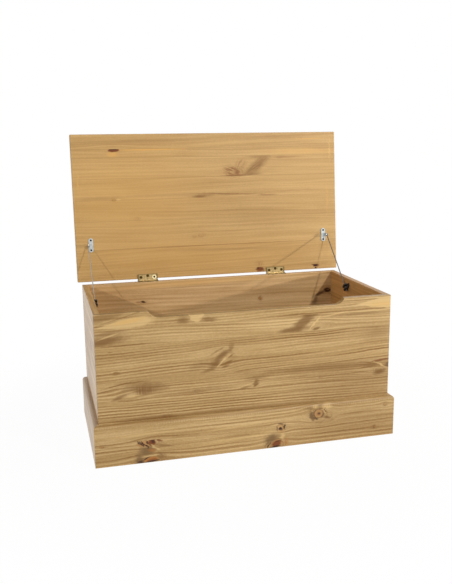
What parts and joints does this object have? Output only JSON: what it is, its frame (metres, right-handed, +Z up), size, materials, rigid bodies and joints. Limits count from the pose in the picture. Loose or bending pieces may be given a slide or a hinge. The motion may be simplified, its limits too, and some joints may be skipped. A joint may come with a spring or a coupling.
{
  "type": "storage trunk",
  "caption": "Pine blanket box on a mitred plinth, with a finger grip in the front's rim and a plain lid on brass butt hinges, held open by sliding rod stays",
  "frame": {"origin": "on the floor, under the middle of the trunk's bounding box with its lid open", "axes": "+X to the trunk's right as seen from its front, +Y from the front towards the hinged back, +Z up"},
  "size_m": [0.889, 0.5138, 0.8959],
  "materials": {
    "pine_front": "waxed pine, knotty, grain along the width",
    "pine_side": "waxed pine, grain along the depth",
    "pine_back": "waxed pine, grain along the width",
    "pine_base": "unfinished pine",
    "pine_plinth": "waxed pine, knotty, rounded top edge",
    "pine_lid": "waxed pine, knotty, satin",
    "hinge_brass": "plated, satin",
    "bracket_zinc": "bright zinc plate",
    "rod_steel": "drawn wire, dull",
    "black_steel": "black, satin",
    "guide_plastic": "dark brown, matt"
  },
  "bodies": {
    "trunk": {"front_panel": "pine_front", "back_panel": "pine_back", "left_side_panel": "pine_side", "right_side_panel": "pine_side", "base_panel": "pine_base", "base_batten_front": "pine_base", "base_batten_back": "pine_base", "base_batten_left": "pine_base", "base_batten_right": "pine_base", "plinth_front": "pine_plinth", "plinth_left": "pine_plinth", "plinth_right": "pine_plinth", "left_hinge_rim_leaf": "hinge_brass", "left_hinge_pin": "hinge_brass", "left_hinge_rim_screw_1": "hinge_brass", "left_hinge_rim_screw_2": "hinge_brass", "left_hinge_rim_screw_3": "hinge_brass", "right_hinge_rim_leaf": "hinge_brass", "right_hinge_pin": "hinge_brass", "right_hinge_rim_screw_1": "hinge_brass", "right_hinge_rim_screw_2": "hinge_brass", "right_hinge_rim_screw_3": "hinge_brass", "left_stay_guide_plate": "guide_plastic", "left_stay_guide_screw_1": "black_steel", "left_stay_guide_screw_2": "black_steel", "right_stay_guide_plate": "guide_plastic", "right_stay_guide_screw_1": "black_steel", "right_stay_guide_screw_2": "black_steel"},
    "lid": {"lid_panel": "pine_lid", "left_hinge_lid_leaf": "hinge_brass", "left_hinge_lid_screw_1": "hinge_brass", "left_hinge_lid_screw_2": "hinge_brass", "left_hinge_lid_screw_3": "hinge_brass", "right_hinge_lid_leaf": "hinge_brass", "right_hinge_lid_screw_1": "hinge_brass", "right_hinge_lid_screw_2": "hinge_brass", "right_hinge_lid_screw_3": "hinge_brass", "left_stay_bracket": "bracket_zinc", "left_stay_bracket_screw_1": "black_steel", "left_stay_bracket_screw_2": "black_steel", "left_stay_pivot_pin": "rod_steel", "right_stay_bracket": "bracket_zinc", "right_stay_bracket_screw_1": "black_steel", "right_stay_bracket_screw_2": "black_steel", "right_stay_pivot_pin": "rod_steel"},
    "left_rod": {"left_stay_rod": "rod_steel"},
    "left_guide": {"left_stay_guide": "guide_plastic", "left_stay_guide_rivet": "black_steel"},
    "right_rod": {"right_stay_rod": "rod_steel"},
    "right_guide": {"right_stay_guide": "guide_plastic", "right_stay_guide_rivet": "black_steel"}
  },
  "joints": [
    {"name": "lid_hinge", "type": "hinge", "parent": "trunk", "child": "lid", "pos_m": [0, 0.19416, 0.4287], "axis": [1, 0, 0], "range_deg": [0, 95.3]},
    {"name": "left_rod_pivot", "type": "hinge", "parent": "lid", "child": "left_rod", "pos_m": [-0.4039, 0.19414, 0.55082], "axis": [1, 0, 0], "range_deg": [-115.8, 0]},
    {"name": "left_guide_slide", "type": "slide", "parent": "left_rod", "child": "left_guide", "axis": [0, 0.7411, 0.6714], "range_m": [0, 0.1768]},
    {"name": "right_rod_pivot", "type": "hinge", "parent": "lid", "child": "right_rod", "pos_m": [0.4039, 0.19414, 0.55082], "axis": [1, 0, 0], "range_deg": [-115.8, 0]},
    {"name": "right_guide_slide", "type": "slide", "parent": "right_rod", "child": "right_guide", "axis": [0, 0.7411, 0.6714], "range_m": [0, 0.1768]}
  ],
  "couplings": [
    {"joint": "left_rod_pivot", "follows": "lid_hinge", "ratio": -1.2138},
    {"joint": "left_guide_slide", "follows": "lid_hinge", "m_per_rad": 0.10616},
    {"joint": "right_rod_pivot", "follows": "lid_hinge", "ratio": -1.2138},
    {"joint": "right_guide_slide", "follows": "lid_hinge", "m_per_rad": 0.10616}
  ]
}
